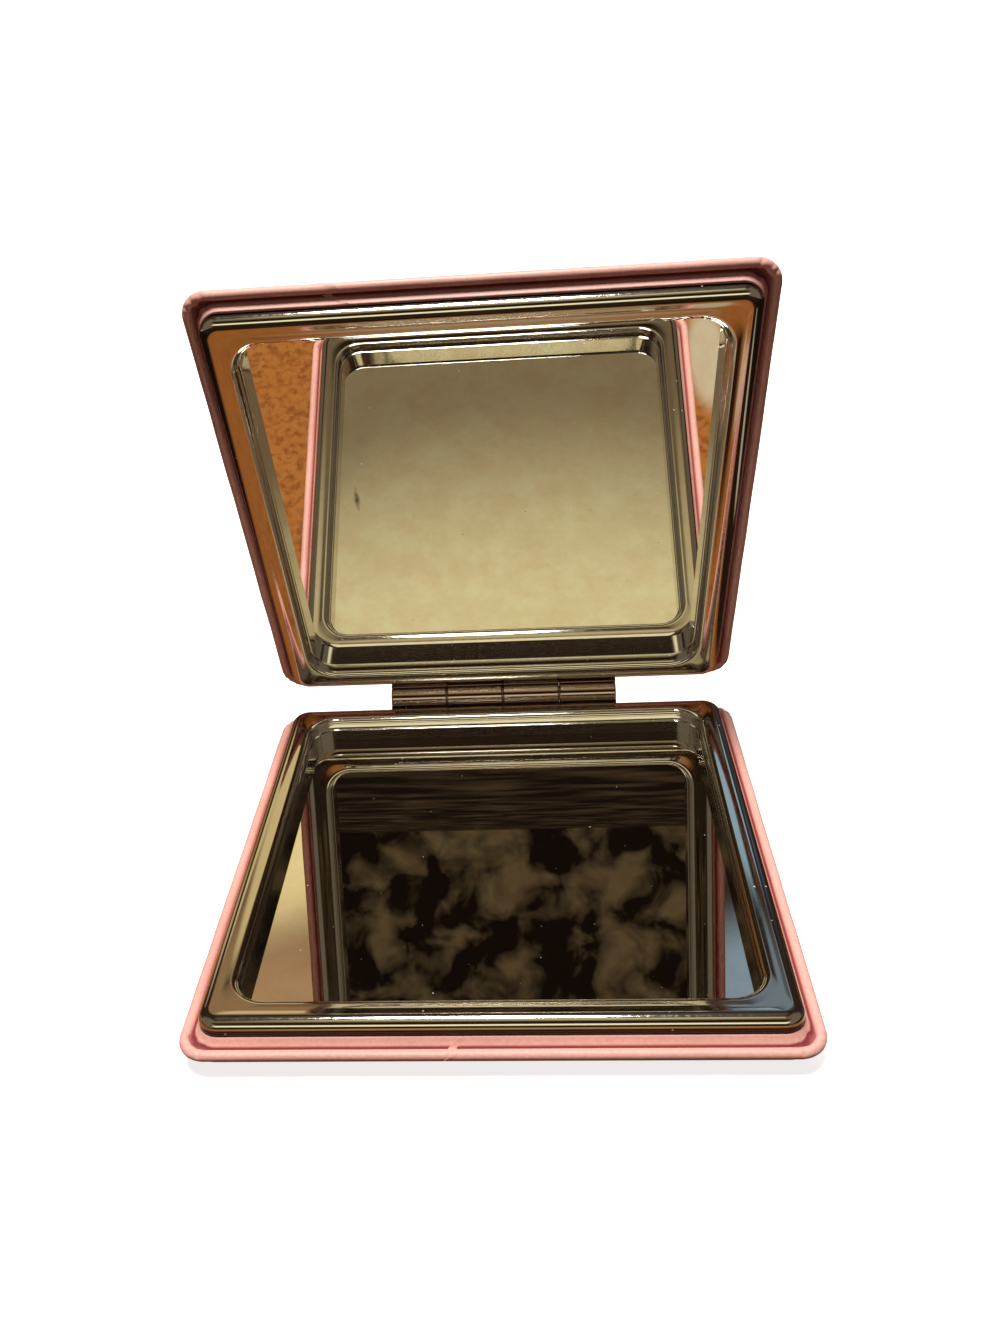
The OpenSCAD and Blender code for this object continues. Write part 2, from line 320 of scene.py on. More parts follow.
def plated(name, base, foot_shade, rough, wave_mm, scuff):
    """Bright plating over pressed steel: mirror-like, with the press's slow waviness,
    hairline scuffs and a few specks of dust."""
    material, tree, output = new_material(name)
    place = add_node(tree, "ShaderNodeTexCoord").outputs["Object"]
    # Waviness that pressing leaves under the plating, 0.03 mm deep
    waves = add_node(
        tree, "ShaderNodeTexNoise", {"Vector": place}, {"Scale": 1 / (wave_mm * MM), "Detail": 1}
    )
    # Orange peel and hairlines, drawn at 0.5 mm because real ones of 0.02 mm would not show
    hair = add_node(
        tree, "ShaderNodeTexNoise", {"Vector": place},
        {"Scale": 1 / (0.5 * MM), "Detail": 4, "Distortion": 0.6},
    )
    height = add_node(
        tree, "ShaderNodeMix", {"A": waves.outputs["Fac"], "B": hair.outputs["Fac"]},
        {"Factor": 0.006},
    )
    relief = add_node(
        tree, "ShaderNodeBump", {"Height": height.outputs["Result"]},
        {"Strength": 1.0, "Distance": 0.03 * MM},
    )
    haze = add_node(
        tree, "ShaderNodeMapRange", {"Value": hair.outputs["Fac"]},
        {"From Min": 0.35, "From Max": 0.75, "To Min": rough, "To Max": rough + scuff},
    )
    # Painted shade: the metal is painted dark where the mesh's shade attribute marks it, on the
    # frame's foot over the leatherette
    painted_shade = add_node(tree, "ShaderNodeAttribute", attribute_name="painted_shade")
    body = add_node(
        tree, "ShaderNodeMix", {"Factor": painted_shade.outputs["Fac"]},
        {"A": rgba(base), "B": rgba(foot_shade)},
        data_type="RGBA",
    )
    shader = add_node(
        tree, "ShaderNodeBsdfPrincipled",
        {
            "Base Color": body.outputs["Result"],
            "Roughness": haze.outputs["Result"],
            "Normal": relief.outputs["Normal"],
        },
        {"Metallic": 1.0},
    )
    top = dusted(tree, place, shader, "#C4BFB6", spacing_mm=3.2, speck=0.03, share=1.0)
    tree.links.new(top.outputs[0], output.inputs["Surface"])
    return material


# The middle of the smear on the lid's glass, and how far it reaches along each axis
SMEAR_AT = Vector((-18.2, 26.4, 43.1)) * MM
SMEAR_REACH = [reach * MM for reach in (0.5, 1.3, 2.2)]


def silvered_glass(colours):
    """Float glass silvered behind: a clear, sharp mirror with a thin film, faint finger smears,
    one dark smear and a few specks of dust."""
    material, tree, output = new_material("silvered_float_glass")
    place = add_node(tree, "ShaderNodeTexCoord").outputs["Object"]
    # Finger smears, 5 mm wide
    smears = add_node(
        tree, "ShaderNodeTexNoise", {"Vector": place},
        {"Scale": 1 / (5 * MM), "Detail": 4, "Distortion": 1.5},
    )
    haze = add_node(
        tree, "ShaderNodeMapRange", {"Value": smears.outputs["Fac"]},
        {"From Min": 0.45, "From Max": 0.8, "To Min": 0.0, "To Max": 0.03},
    )
    # The dark smear, 4 mm long and ragged like the finger smears
    length = spread_from(tree, place, SMEAR_AT, SMEAR_REACH)
    ragged = add_node(
        tree, "ShaderNodeTexNoise", {"Vector": place}, {"Scale": 1 / (0.8 * MM), "Detail": 2}
    )
    near = add_node(
        tree, "ShaderNodeMath", {0: length, 1: ragged.outputs["Fac"]}, operation="ADD"
    )
    smear = add_node(
        tree, "ShaderNodeMapRange", {"Value": near.outputs[0]},
        {"From Min": 0.6, "From Max": 1.5, "To Min": 0.85, "To Max": 0.0},
    )
    # A breath of film on the glass, in blotches of 4 mm
    film = add_node(
        tree, "ShaderNodeTexNoise", {"Vector": place},
        {"Scale": 1 / (4 * MM), "Detail": 4, "Roughness": 0.65},
    )
    share = add_node(
        tree, "ShaderNodeMapRange", {"Value": film.outputs["Fac"]},
        {"From Min": 0.38, "From Max": 0.62},
    )
    body = add_node(
        tree, "ShaderNodeMix", {"Factor": share.outputs["Result"]},
        {"A": rgba(colours.silver), "B": rgba(colours.film)},
        data_type="RGBA",
    )
    body = add_node(
        tree, "ShaderNodeMix", {"Factor": smear.outputs["Result"], "A": body.outputs["Result"]},
        {"B": rgba(colours.smear)},
        data_type="RGBA",
    )
    shader = add_node(
        tree, "ShaderNodeBsdfPrincipled",
        {"Base Color": body.outputs["Result"], "Roughness": haze.outputs["Result"]},
        {"Metallic": 1.0},
    )
    top = dusted(tree, place, shader, "#CBC7BC", spacing_mm=3.5, speck=0.02, share=0.8)
    tree.links.new(top.outputs[0], output.inputs["Surface"])
    return material


def plain_finish(name, base, rough, grain_mm, spread, depth_mm=0.01, metallic=0.0):
    """A hidden or small part's finish: one tone that varies a little, over a fine relief."""
    material, tree, output = new_material(name)
    place = add_node(tree, "ShaderNodeTexCoord").outputs["Object"]
    grain = add_node(
        tree, "ShaderNodeTexNoise", {"Vector": place}, {"Scale": 1 / (grain_mm * MM), "Detail": 3}
    )
    ends = [tuple(c * k for c in base) for k in (1 - spread, 1 + spread)]
    tone = add_node(
        tree, "ShaderNodeMix", {"Factor": grain.outputs["Fac"]},
        {"A": rgba(ends[0]), "B": rgba(ends[1])},
        data_type="RGBA",
    )
    relief = add_node(
        tree, "ShaderNodeBump", {"Height": grain.outputs["Fac"]},
        {"Strength": 0.5, "Distance": depth_mm * MM},
    )
    shader = add_node(
        tree, "ShaderNodeBsdfPrincipled",
        {"Base Color": tone.outputs["Result"], "Normal": relief.outputs["Normal"]},
        {"Roughness": rough, "Metallic": metallic},
    )
    tree.links.new(shader.outputs[0], output.inputs["Surface"])
    return material


MADE = {}


def finish(name):
    """The material of that name, made the first time that it is asked for."""
    if name in MADE:
        return MADE[name]
    colours = bpy.context.scene.compact_mirror.finish
    MADE[name] = {
        "leatherette": lambda: leatherette(colours),
        # Chromed sheet, pressed and then plated: bright, with slow waves
        "chrome": lambda: plated(
            "bright_chrome_plating", colours.chrome, colours.foot_shade,
            rough=0.05, wave_mm=14, scuff=0.06,
        ),
        # Rolled steel sheet, plated too: duller and with closer waves, and its tone painted darker
        # than the chrome as painted shade
        "hinge": lambda: plated(
            "hinge_plating_painted_dark", colours.hinge, colours.foot_shade, rough=0.08, wave_mm=6, scuff=0.1
        ),
        "mirror": lambda: silvered_glass(colours),
        # Drawn steel wire, cut to length and plated: satin
        "pin": lambda: plain_finish(
            "drawn_steel_wire", colours.steel, rough=0.28, grain_mm=0.3, spread=0.08, metallic=1.0
        ),
        # Turned steel rivets: satin heads
        "rivet": lambda: plain_finish(
            "riveted_steel", colours.steel, rough=0.35, grain_mm=0.4, spread=0.08, metallic=1.0
        ),
        # Sintered magnets, barrel-plated with nickel: dull and slightly uneven
        "magnet": lambda: plain_finish(
            "nickel_plated_magnet", colours.nickel, rough=0.4, grain_mm=0.6, spread=0.1,
            metallic=1.0,
        ),
        # Injection-moulded ABS with a fine spark texture
        "shell": lambda: plain_finish(
            "moulded_abs", colours.shell, rough=0.55, grain_mm=0.25, spread=0.12
        ),
        # Double-sided film tape: matt and even
        "adhesive": lambda: plain_finish(
            "film_tape", colours.adhesive, rough=0.6, grain_mm=0.8, spread=0.04, depth_mm=0.005
        ),
    }[name]()
    return MADE[name]


# Shapes


def rounded_ring(bm, inset, radius, z, facets, cuts=0):
    """Edges of a square ring with rounded corners, set in from the rim."""
    before = set(bm.edges)
    reach = RIM_HALF - inset
    corners = [
        bm.verts.new((x * reach, y * reach, z)) for x, y in ((1, 1), (-1, 1), (-1, -1), (1, -1))
    ]
    bm.faces.new(corners)
    bmesh.ops.bevel(
        bm, geom=corners, offset=radius, offset_type="OFFSET", affect="VERTICES",
        segments=facets, profile=0.5, material=-1,
    )
    bmesh.ops.delete(bm, geom=[f for f in bm.faces if len(f.verts) > 4], context="FACES_ONLY")
    ring = [e for e in bm.edges if e not in before]
    if cuts:
        longest = max(e.calc_length() for e in ring)
        sides = [e for e in ring if e.calc_length() > longest / 2]
        bmesh.ops.subdivide_edges(bm, edges=sides, cuts=cuts)
        ring = [e for e in bm.edges if e not in before]
    return ring


def loft(bm, stations, facets, cuts=0, closed=True):
    """Joins rounded rings, one for each (inset, radius, z) station, into one skin."""
    # Joined as a tall stack and then set to their heights, because rings in one plane join twisted
    rings = [
        rounded_ring(bm, inset, radius, i * MM, facets, cuts)
        for i, (inset, radius, _) in enumerate(stations)
    ]
    corners = [{v for e in ring for v in e.verts} for ring in rings]
    for first, second in zip(rings, rings[1:] + rings[:1] if closed else rings[1:]):
        bmesh.ops.bridge_loops(bm, edges=first + second)
    for verts, station in zip(corners, stations):
        for v in verts:
            v.co.z = station[2]
    return rings


def arc(centre, radius, start, end, steps):
    """Points (inset, z) of an arc in a ring's section, with angles in degrees."""
    return [
        (
            centre[0] + radius * math.cos(math.radians(start + (end - start) * i / steps)),
            centre[1] + radius * math.sin(math.radians(start + (end - start) * i / steps)),
        )
        for i in range(steps + 1)
    ]


def add_piece(bm, name, half, finish_name, replaced=()):
    """Makes the mesh an object at the origin that rides on its half."""
    bmesh.ops.remove_doubles(bm, verts=bm.verts, dist=0.0005 * MM)
    bmesh.ops.recalc_face_normals(bm, faces=bm.faces)
    for face in bm.faces:
        face.smooth = True
    mesh = bpy.data.meshes.new(name)
    bm.to_mesh(mesh)
    bm.free()
    if half == "lid":
        mesh.transform(TO_LID)
    mesh.set_sharp_from_angle(angle=math.radians(40))
    mesh.materials.append(finish(finish_name))
    piece = bpy.data.objects.new(name, mesh)
    bpy.context.scene.collection.objects.link(piece)
    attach(piece, half)
    if replaced:
        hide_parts(*replaced)
    return piece


def clamp(share):
    """The share, kept from 0 to 1."""
    return min(1.0, max(0.0, share))


def paint_shade_rings(bm, rings, away, full_shade_by, shade_fades_by):
    """Marks every ring with how much painted shade it takes: all of it nearer than the first
    distance, none beyond the second.
    """
    painted_shade = bm.verts.layers.float["painted_shade"]
    for ring, far in zip(rings, away):
        share = clamp((shade_fades_by - far) / (shade_fades_by - full_shade_by))
        for v in {v for e in ring for v in e.verts}:
            v[painted_shade] = share * share * (3 - 2 * share)


def wander(point, spread, seed):
    """A small repeatable offset that changes slowly from place to place."""
    return noise.noise(point * (1 / spread) + Vector((seed, 0, 0)))


def frame_stations(sizes):
    """Section of the pressed frame, as (inset, corner radius, z), once round."""
    wall = sizes.overhang
    opening = wall + sizes.width
    edge = opening - sizes.step
    crest = wall + sizes.shoulder_r
    lip = edge - sizes.lip_r
    upper_r = sizes.opening_r + sizes.step
    # A ring this far under the shoulder keeps the wall's shading flat
    support = 0.04 * MM
    # The wall's foot curls in, over the strip
    foot = [
        (wall + sizes.metal, SILL), (wall + 0.34 * MM, SILL), (wall + 0.16 * MM, SILL + 0.08 * MM),
        (wall + 0.05 * MM, SILL + 0.22 * MM), (wall, SILL + 0.4 * MM),
    ]
    outer = [
        (inset, sizes.wall_r - (inset - wall), z)
        for inset, z in foot + [(wall, TOP - sizes.shoulder_r - support)]
        + arc((crest, TOP - sizes.shoulder_r), sizes.shoulder_r, 180, 90, 12)
    ]
    lip_crest_r = upper_r + sizes.lip_r
    crest_r = sizes.wall_r - sizes.shoulder_r
    # Shares of the way from shoulder to lip, and of the hollow's depth there
    ledge = []
    for share, dip in ((0.06, 0.1), (0.25, 0.7), (0.5, 1.0), (0.75, 0.7), (0.94, 0.1)):
        inset = crest + (lip - crest) * share
        ledge.append((inset, crest_r + (lip_crest_r - crest_r) * share, TOP - sizes.valley * dip))
    rolled = [
        (inset, upper_r + (edge - inset), z)
        for inset, z in arc((lip, TOP - sizes.lip_r), sizes.lip_r, 90, 0, 10)
    ]
    step_z = TOP - sizes.step_depth
    inner = [
        (edge, upper_r, step_z + 0.08 * MM),
        (edge + 0.03 * MM, upper_r - 0.03 * MM, step_z + 0.02 * MM),
        (opening - 0.05 * MM, sizes.opening_r + 0.05 * MM, step_z),
        (opening, sizes.opening_r, step_z - 0.05 * MM),
        (opening, sizes.opening_r, GLASS + 0.05 * MM),
        (opening, sizes.opening_r, GLASS),
        (opening - sizes.metal, sizes.opening_r + sizes.metal, GLASS),
        (opening - sizes.metal, sizes.opening_r + sizes.metal, TOP - sizes.metal),
        (wall + sizes.metal, sizes.wall_r - sizes.metal, TOP - sizes.metal),
    ]
    return outer + ledge + rolled + inner


def rim_section(sizes, wall):
    """Section of the wrapped rim, as (inset, corner radius, z): its bead, its crease with the
    face of the standing strip, and the strip's hidden side."""
    r = sizes.bead_r
    bead_z = RIM_LOW + r
    strip = sizes.strip_in
    strip_corner = wall + 0.15 * MM
    bead = [
        (inset, sizes.corner_r - inset, z) for inset, z in arc((r, bead_z), r, 270, 18, 24)
    ]
    # The strip leans out to the crease: mm in from the strip's face, and mm up from the crease
    foot = (
        (-0.68, 0.04), (-0.56, 0.0), (-0.5, 0.0), (-0.44, 0.07), (-0.3, 0.27), (-0.15, 0.5),
        (-0.04, 0.7), (0.04, 0.86), (0.09, 0.95), (0.13, 1.0),
    )
    crease_z = SILL - sizes.crease
    flange = [
        (strip + inset * MM, strip_corner - inset * MM * 0.6, crease_z + rise * MM)
        for inset, rise in foot
    ] + [(strip + 0.2 * MM, strip_corner - 0.12 * MM, SILL)]
    inner = [
        (strip + sizes.strip_t, strip_corner - sizes.strip_t, SILL),
        (strip + sizes.strip_t, strip_corner - sizes.strip_t, RIM_LOW),
    ]
    return bead, flange, inner


class COMPACT_OT_frames(bpy.types.Operator):
    """Press the chromed frame of each half"""

    bl_idname = "compact.frames"
    bl_label = "Chromed frames"

    def execute(self, context):
        sizes = context.scene.compact_mirror.frame
        stations = frame_stations(sizes)
        # How high above the strip each ring of the outer wall stands, with the hidden ones unshaded
        hidden = sizes.overhang + sizes.metal
        away = [z - SILL if inset < hidden else TOP for inset, _, z in stations]
        for half in HALVES:
            bm = bmesh.new()
            bm.verts.layers.float.new("painted_shade")
            rings = loft(bm, stations, facets=20, cuts=6)
            # Painted shade: the wall's foot is painted dark up to 0.85 mm above the strip, fading
            # out by 1.0 mm, in place of its dark reflection
            paint_shade_rings(bm, rings, away, 0.85 * MM, 1.0 * MM)
            add_piece(bm, half + "_pressed_frame", half, "chrome", [half + "_frame"])
        return {"FINISHED"}


def settle_rim(bm, sizes, seed):
    """Lets bead and strip wander a little, and gathers them into small folds in the corners,
    where the strip's foot gets more painted shade."""
    painted_shade = bm.verts.layers.float["painted_shade"]
    half = RIM_HALF - sizes.corner_r
    for v in bm.verts:
        x, y = abs(v.co.x) - half, abs(v.co.y) - half
        # From the middle of the corner's round, or from the straight line that runs on from it
        out = Vector(
            (max(x, 0) * math.copysign(1, v.co.x), max(y, 0) * math.copysign(1, v.co.y), 0)
        )
        reach = out.length
        # The strip's hidden side stays as it is in the corners
        if reach < 0.8 * MM:
            continue
        # 0 on the strip and 1 on the bead
        bead = clamp((reach - 1.9 * MM) / (1.0 * MM))
        move = sizes.lump * wander(v.co, 6 * MM, seed) * (0.35 + 0.65 * bead)
        if x > 0 and y > 0:
            turn = math.degrees(math.atan2(y, x))
            corner = (v.co.x > 0) + 2 * (v.co.y > 0)
            upper = clamp((v.co.z - RIM_LOW - sizes.bead_r) / (0.7 * sizes.bead_r))
            # Four folds over the bead, 22 degrees apart or so, each of its own width and depth
            for fold in range(4):
                drift = wander(Vector((fold, corner, 0)), 0.37, seed)
                centre = 12 + 22 * fold + 18 * drift
                spread = 5 + 4 * abs(drift)
                uneven = abs(wander(Vector((corner, fold, 1)), 0.53, seed))
                depth = sizes.pucker * (0.45 + 1.2 * uneven)
                move -= depth * bead * upper * math.exp(-(((turn - centre) / spread) ** 2))
            # The strip's foot is gathered too, raggedly, and most in the middle of the corner
            at_foot = max(0.0, 1 - abs(reach - 1.8 * MM) / (0.9 * MM))
            at_foot *= math.sin(math.radians(2 * turn)) ** 0.5
            move += sizes.gather * at_foot * wander(v.co, 0.9 * MM, seed + 9)
            # Painted shade: in the corners the gathered foot is painted darker, with ragged patches
            # of painted shade added there
            v[painted_shade] = min(1.0, v[painted_shade] * (1 + 1.5 * at_foot))
            shade_patch = max(0.0, 1.6 * wander(v.co, 1.1 * MM, seed + 4))
            v[painted_shade] += at_foot * (1 - v[painted_shade]) * shade_patch
        v.co += out.normalized() * move
        v.co.z += 0.5 * move * bead


class COMPACT_OT_rims(bpy.types.Operator):
    """Wrap the bead and the standing strip round each half"""

    bl_idname = "compact.rims"
    bl_label = "Wrapped rims"

    def execute(self, context):
        settings = context.scene.compact_mirror
        for seed, half in enumerate(HALVES):
            bm = bmesh.new()
            bm.verts.layers.float.new("painted_shade")
            bead, flange, inner = rim_section(settings.rim, settings.frame.wall_r)
            stations = bead + flange + inner
            rings = loft(bm, stations, facets=40, cuts=110)
            # How far each ring lies from the bottom of the crease
            deepest = Vector((flange[1][0], flange[1][2]))
            away = [(Vector((inset, z)) - deepest).length for inset, _, z in stations]
            # Painted shade: rings are painted fully dark up to 0.3 of this reach from the crease's
            # bottom, and not at all beyond it
            paint_shade_rings(bm, rings, away, 0.3 * settings.rim.shade_reach, settings.rim.shade_reach)
            settle_rim(bm, settings.rim, 3.7 * seed + 1.3)
            add_piece(
                bm, half + "_wrapped_rim", half, "leatherette",
                [half + "_edge_band"],
            )
        return {"FINISHED"}


def lap_strip(context, half, at, lean, length, name):
    """The end of the rim's band where it laps over its beginning, at a place along the free edge:
    as long as given, and leaning so far from the bead's foot to the top of the strip."""
    settings = context.scene.compact_mirror
    bead, flange, _ = rim_section(settings.rim, settings.frame.wall_r)
    # From low on the bead, over the crease, to just under the strip's top
    path = [(inset, z) for inset, _, z in bead[4:] + flange[:9]]
    bm = bmesh.new()
    verts = [bm.verts.new((0, inset - RIM_HALF, z)) for inset, z in path]
    edge_loop = [bm.edges.new(pair) for pair in zip(verts, verts[1:])]
    steps = 8
    for _ in range(steps):
        grown = bmesh.ops.extrude_edge_only(bm, edges=edge_loop)["geom"]
        moved = [g for g in grown if isinstance(g, bmesh.types.BMVert)]
        bmesh.ops.translate(bm, verts=moved, vec=(length / steps, 0, 0))
        edge_loop = [g for g in grown if isinstance(g, bmesh.types.BMEdge)]
    bmesh.ops.recalc_face_normals(bm, faces=bm.faces)
    low, high = path[0][1], path[-1][1]
    bm.normal_update()
    out = Vector((0, -1, 0.35)).normalized()
    for v in bm.verts:
        # The cut end stands proud, and the rest runs down into the band
        along = v.co.x / length
        v.co += out * settings.rim.lap_t * 0.6 * (1 - along)
        v.co.x += at + lean * (v.co.z - low) / (high - low)
    bmesh.ops.solidify(bm, geom=bm.faces[:], thickness=settings.rim.lap_t)
    add_piece(bm, name, half, "leatherette")


class COMPACT_OT_laps(bpy.types.Operator):
    """Lap the ends of each rim's band"""

    bl_idname = "compact.laps"
    bl_label = "Band laps"

    def execute(self, context):
        length = 0.9 * MM
        lap_strip(context, "base", -5.8 * MM, 1.9 * MM, length, "base_band_lap")
        lap_strip(context, "lid", 18 * MM, -3.2 * MM, length, "lid_band_lap")
        return {"FINISHED"}


def cover_stations(sizes, corner, strip, shell_z):
    """Half section of a padded cover, as (inset, corner radius, z), from the edge that is tucked
    inside the rim, round the roll and over the flat middle."""
    # Just over the bead's underside, so that no gap shows between them
    rim_z = RIM_LOW + 0.04 * MM
    tucked = [(strip, corner * 0.6, shell_z), (strip, corner * 0.6, rim_z)]
    roll = []
    steps = 12
    for i in range(steps + 1):
        turn = math.radians(90 * i / steps)
        inset = sizes.tuck + (sizes.roll - sizes.tuck) * (1 - math.cos(turn)) ** 1.5
        radius = max(corner - inset, 0) * 0.5 + corner * 0.5
        roll.append((inset, radius, rim_z * (1 - math.sin(turn))))
    # Rings of the flat middle, whose corners may take up no more than most of a side
    flat = []
    for inset in (9, 12, 16, 20, 24, 28, 31, 33):
        radius = corner + (inset * MM - sizes.roll) * 0.15
        flat.append((inset * MM, min(radius, (RIM_HALF - inset * MM) * 0.6), 0))
    return tucked + roll + flat


class COMPACT_OT_covers(bpy.types.Operator):
    """Stretch the padded cover over the outside of each half"""

    bl_idname = "compact.covers"
    bl_label = "Padded covers"

    def execute(self, context):
        settings = context.scene.compact_mirror
        sizes = settings.cover
        strip = settings.rim.strip_in + settings.rim.strip_t
        shell_z = 1.0 * MM
        stations = cover_stations(sizes, settings.rim.corner_r, strip, shell_z)
        for seed, half in enumerate(HALVES):
            bm = bmesh.new()
            rings = loft(bm, stations, facets=12, cuts=40, closed=False)
            bmesh.ops.contextual_create(bm, geom=rings[0])
            bmesh.ops.contextual_create(bm, geom=rings[-1])
            # The base lies on its cover, which stays flat there and only waves up, on its roll
            swell = sizes.crown if half == "lid" else 0
            for v in bm.verts:
                if v.co.z < shell_z * 0.9:
                    depth = RIM_HALF - max(abs(v.co.x), abs(v.co.y))
                    share = clamp((depth - 2 * MM) / (14 * MM))
                    rise = swell * share * share * (3 - 2 * share)
                    lift = sizes.wave * wander(v.co, 9 * MM, seed + 5)
                    if half == "base":
                        lift = max(lift, 0) if v.co.z > 0.3 * MM else 0
                    v.co.z += -rise + lift
            cover = add_piece(
                bm, half + "_padded_cover", half, "leatherette",
                [half + "_cover_panel", half + "_foam_pad"],
            )
        return {"FINISHED"}


def roll_knuckle(bm, sizes, left, width):
    """One knuckle, turned from its section, and the leaf's tongue that it is rolled from."""
    right = left + width
    section = [
        bm.verts.new((x, HINGE.y, HINGE.z + r))
        for x, r in (
            (left + sizes.edge, sizes.barrel_r), (left, sizes.barrel_r - sizes.edge),
            (left, sizes.bore_r), (right, sizes.bore_r),
            (right, sizes.barrel_r - sizes.edge), (right - sizes.edge, sizes.barrel_r),
        )
    ]
    edges = [bm.edges.new(pair) for pair in zip(section, section[1:] + section[:1])]
    bmesh.ops.spin(
        bm, geom=section + edges, cent=HINGE, axis=(1, 0, 0), angle=2 * math.pi, steps=48,
        use_merge=True,
    )
    # The tongue runs from the front of the leaf that it replaces to just before the bore
    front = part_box("base_hinge_leaf")[0].y
    reach = HINGE.y - sizes.bore_r * 1.3 - front
    level = HINGE.z - sizes.barrel_r + sizes.leaf_t / 2
    tongue = bmesh.ops.create_cube(bm, size=1)["verts"]
    bmesh.ops.scale(bm, verts=tongue, vec=(width, reach, sizes.leaf_t))
    bmesh.ops.translate(bm, verts=tongue, vec=(left + width / 2, reach / 2 + front, level))
    edges = list(dict.fromkeys(e for v in tongue for e in v.link_edges))
    bmesh.ops.bevel(
        bm, geom=edges, offset=0.05 * MM, offset_type="OFFSET", affect="EDGES", segments=2,
        profile=0.5, material=-1,
    )


def cup_web(bm, sizes):
    """The leaf's thin web, which cups the other half's knuckles over the whole width."""
    section = [
        bm.verts.new((-PIN_HALF, HINGE.y + y, HINGE.z + z))
        for y, z in arc((0, 0), sizes.web_r, 190, 262, 16)
        + arc((0, 0), sizes.web_r + sizes.web_t, 262, 190, 16)
    ]
    face = bm.faces.new(section)
    grown = bmesh.ops.extrude_face_region(bm, geom=[face])["geom"]
    moved = [g for g in grown if isinstance(g, bmesh.types.BMVert)]
    bmesh.ops.translate(bm, verts=moved, vec=(2 * PIN_HALF, 0, 0))


class COMPACT_OT_hinge(bpy.types.Operator):
    """Roll the knuckles of both hinge leaves"""

    bl_idname = "compact.hinge"
    bl_label = "Hinge leaves"

    def execute(self, context):
        sizes = context.scene.compact_mirror.hinge
        width = (2 * PIN_HALF - 3 * sizes.gap) / 4
        for half in HALVES:
            bm = bmesh.new()
            # The second and fourth of four places: the lid's, turned over, come between the base's
            for place in (1, 3):
                roll_knuckle(bm, sizes, -PIN_HALF + place * (width + sizes.gap), width)
            cup_web(bm, sizes)
            add_piece(bm, half + "_rolled_leaf", half, "hinge", [half + "_hinge_leaf"])
        return {"FINISHED"}


class COMPACT_OT_carried(bpy.types.Operator):
    """Give the solids that stay their finishes"""

    bl_idname = "compact.carried"
    bl_label = "Carried-over solids"

    def execute(self, context):
        # By the end of each node's name, after its half or "hinge"
        kept = {
            "mirror": "mirror", "shell": "shell", "mirror_tape": "adhesive",
            "magnets": "magnet", "leaf_rivets": "rivet", "pin": "pin",
        }
        for name, node in frame["nodes"].items():
            ending = name.split("_", 1)[1]
            if ending in kept:
                node.data.materials.clear()
                node.data.materials.append(finish(kept[ending]))
        return {"FINISHED"}


# Stage


def heading(azimuth, elevation):
    """Unit vector towards an azimuth, 0 behind the object and 90 on its right, and an elevation,
    both in degrees."""
    a, e = math.radians(azimuth), math.radians(elevation)
    return Vector((math.sin(a) * math.cos(e), math.cos(a) * math.cos(e), math.sin(e)))


def patched_glow(name, ground, patches, as_directions):
    """Emission of one plain tone with soft patches of others, as the cards of a studio tent: each
    patch is a centre, its half sizes, how soft its edge is, its colour, and the size of its
    mottling. A centre is a place, or a direction from the middle."""
    material, tree, output = new_material(name)
    place = add_node(tree, "ShaderNodeTexCoord").outputs["Object"]
    if as_directions:
        direction = add_node(tree, "ShaderNodeVectorMath", {0: place}, operation="NORMALIZE")
        place = direction.outputs[0]
    tone = None
    for centre, reach, edge, shade, spot in patches:
        share = add_node(
            tree, "ShaderNodeMapRange", {"Value": spread_from(tree, place, centre, reach)},
            {"From Min": 1 - edge, "From Max": 1 + edge, "To Min": 1.0, "To Max": 0.0},
            interpolation_type="SMOOTHSTEP",
        )
        if spot:
            spots = add_node(
                tree, "ShaderNodeTexNoise", {"Vector": place},
                {"Scale": 1 / spot, "Detail": 3, "Distortion": 0.4},
            )
            share = add_node(
                tree, "ShaderNodeMapRange",
                {"Value": spots.outputs["Fac"], "To Max": share.outputs["Result"]},
                {"From Min": 0.44, "From Max": 0.66},
            )
        links = {"Factor": share.outputs["Result"]}
        inputs = {"B": rgba(shade)}
        if tone is None:
            inputs["A"] = rgba(linear(ground))
        else:
            links["A"] = tone
        tone = add_node(tree, "ShaderNodeMix", links, inputs, data_type="RGBA").outputs["Result"]
    shader = add_node(tree, "ShaderNodeEmission", {"Color": tone}, {"Strength": 1.0})
    tree.links.new(shader.outputs[0], output.inputs["Surface"])
    return material


def add_backdrop(bm, name, material):
    """A piece of the stage, which isn't part of the mirror."""
    mesh = bpy.data.meshes.new(name)
    bm.to_mesh(mesh)
    bm.free()
    mesh.materials.append(material)
    backdrop = bpy.data.objects.new(name, mesh)
    bpy.context.scene.collection.objects.link(backdrop)
    return backdrop


def add_card(bm, name, material):
    """A card that only reflections see."""
    card = add_backdrop(bm, name, material)
    card.visible_camera = False
    card.visible_diffuse = False
    card.visible_shadow = False


def add_lamp(name, place, target, across, watts, tint):
    """A round soft lamp that looks at the target."""
    data = bpy.data.lights.new(name, "AREA")
    data.shape = "DISK"
    data.size = across
    data.energy = watts
    data.color = linear(tint)
    lamp = bpy.data.objects.new(name, data)
    lamp.location = place
    lamp.rotation_euler = (Vector(target) - Vector(place)).to_track_quat("-Z", "Y").to_euler()
    bpy.context.scene.collection.objects.link(lamp)
    return lamp


def background_rays(tree):
    """1 for the rays that see the white background itself, and 0 for those that carry light."""
    path = add_node(tree, "ShaderNodeLightPath")
    first = add_node(
        tree, "ShaderNodeMath",
        {0: path.outputs["Is Camera Ray"], 1: path.outputs["Is Glossy Ray"]}, operation="MAXIMUM",
    )
    return add_node(
        tree, "ShaderNodeMath",
        {0: first.outputs[0], 1: path.outputs["Is Transmission Ray"]}, operation="MAXIMUM",
    ).outputs[0]


